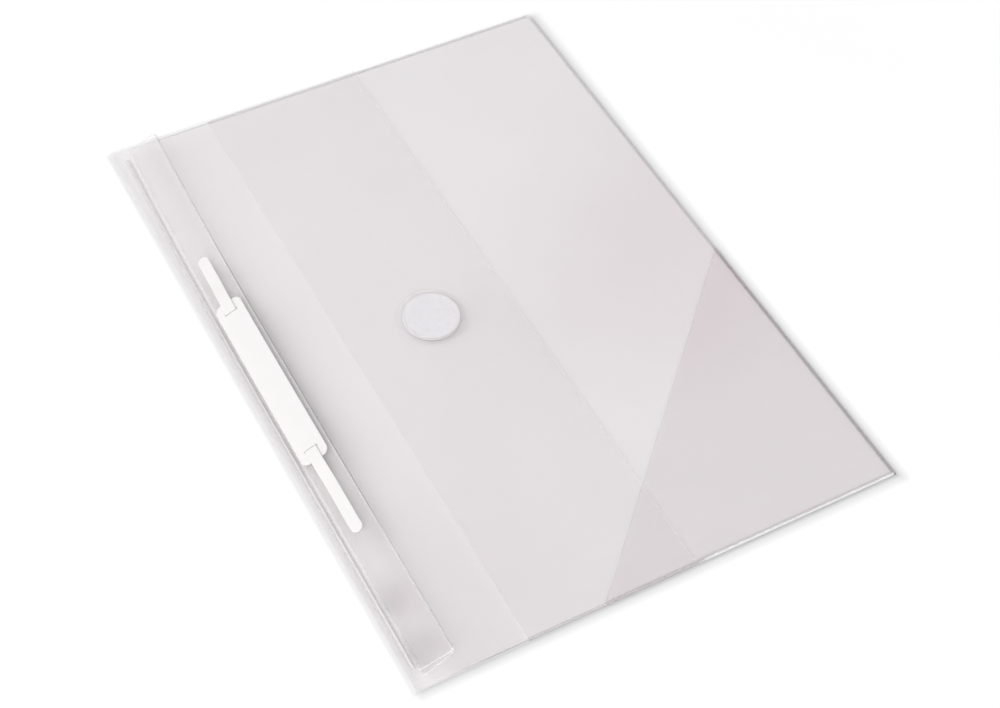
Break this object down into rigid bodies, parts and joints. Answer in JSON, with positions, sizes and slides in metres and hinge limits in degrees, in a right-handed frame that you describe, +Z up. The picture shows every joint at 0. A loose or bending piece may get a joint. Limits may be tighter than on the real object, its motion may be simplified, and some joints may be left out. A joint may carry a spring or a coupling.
{
  "type": "clear document wallet with filing strip",
  "caption": "Clear plastic A4 document wallet with a hook-and-loop flap, a corner pocket and a filing strip that carries a two-tongue paper fastener.",
  "frame": {"origin": "on the surface that the closed wallet lies on, in the middle of its outline", "axes": "+Y along the spine towards the far edge, +X from the spine to the closed right edge, +Z up out of the front"},
  "size_m": [0.22, 0.31, 0.0101],
  "materials": {
    "clear_film": "clear soft PVC film with a gloss and slight ripples",
    "welded_film": "film fused into a glossy seam, a little denser than the sheet",
    "white_plastic": "smooth white moulded plastic with a soft sheen",
    "dot_fabric": "white nylon hook-and-loop tape"
  },
  "bodies": {
    "wallet": {"back_panel": "clear_film", "spine_fold": "clear_film", "front_panel": "clear_film", "near_weld": "welded_film", "far_weld": "welded_film", "right_weld": "welded_film", "corner_pocket": "clear_film", "corner_near_weld": "welded_film", "corner_right_weld": "welded_film", "hook_dot": "dot_fabric"},
    "flap": {"closure_flap": "clear_film", "loop_dot": "dot_fabric", "strip_seam": "welded_film"},
    "strip": {"filing_strip": "clear_film", "fastener_base": "white_plastic", "fastener_bar": "white_plastic"},
    "far_tongue": {"far_tongue": "white_plastic"},
    "near_tongue": {"near_tongue": "white_plastic"}
  },
  "joints": [
    {"name": "flap_fold", "type": "hinge", "parent": "wallet", "child": "flap", "pos_m": [-0.1089, 0, 0.0011], "axis": [0, -1, 0], "range_deg": [0, 145]},
    {"name": "strip_fold", "type": "hinge", "parent": "flap", "child": "strip", "pos_m": [-0.106, 0, 0.00225], "axis": [0, 1, 0], "range_deg": [-95, 16], "stiffness_Nm_per_rad": 0.008, "springref_deg": -1.95},
    {"name": "far_tongue_bend", "type": "hinge", "parent": "strip", "child": "far_tongue", "pos_m": [-0.09925, 0.039, 0.00788], "axis": [0.9063, 0, 0.4226], "range_deg": [0, 180]},
    {"name": "near_tongue_bend", "type": "hinge", "parent": "strip", "child": "near_tongue", "pos_m": [-0.09925, -0.041, 0.00788], "axis": [-0.9063, 0, -0.4226], "range_deg": [0, 180]}
  ]
}
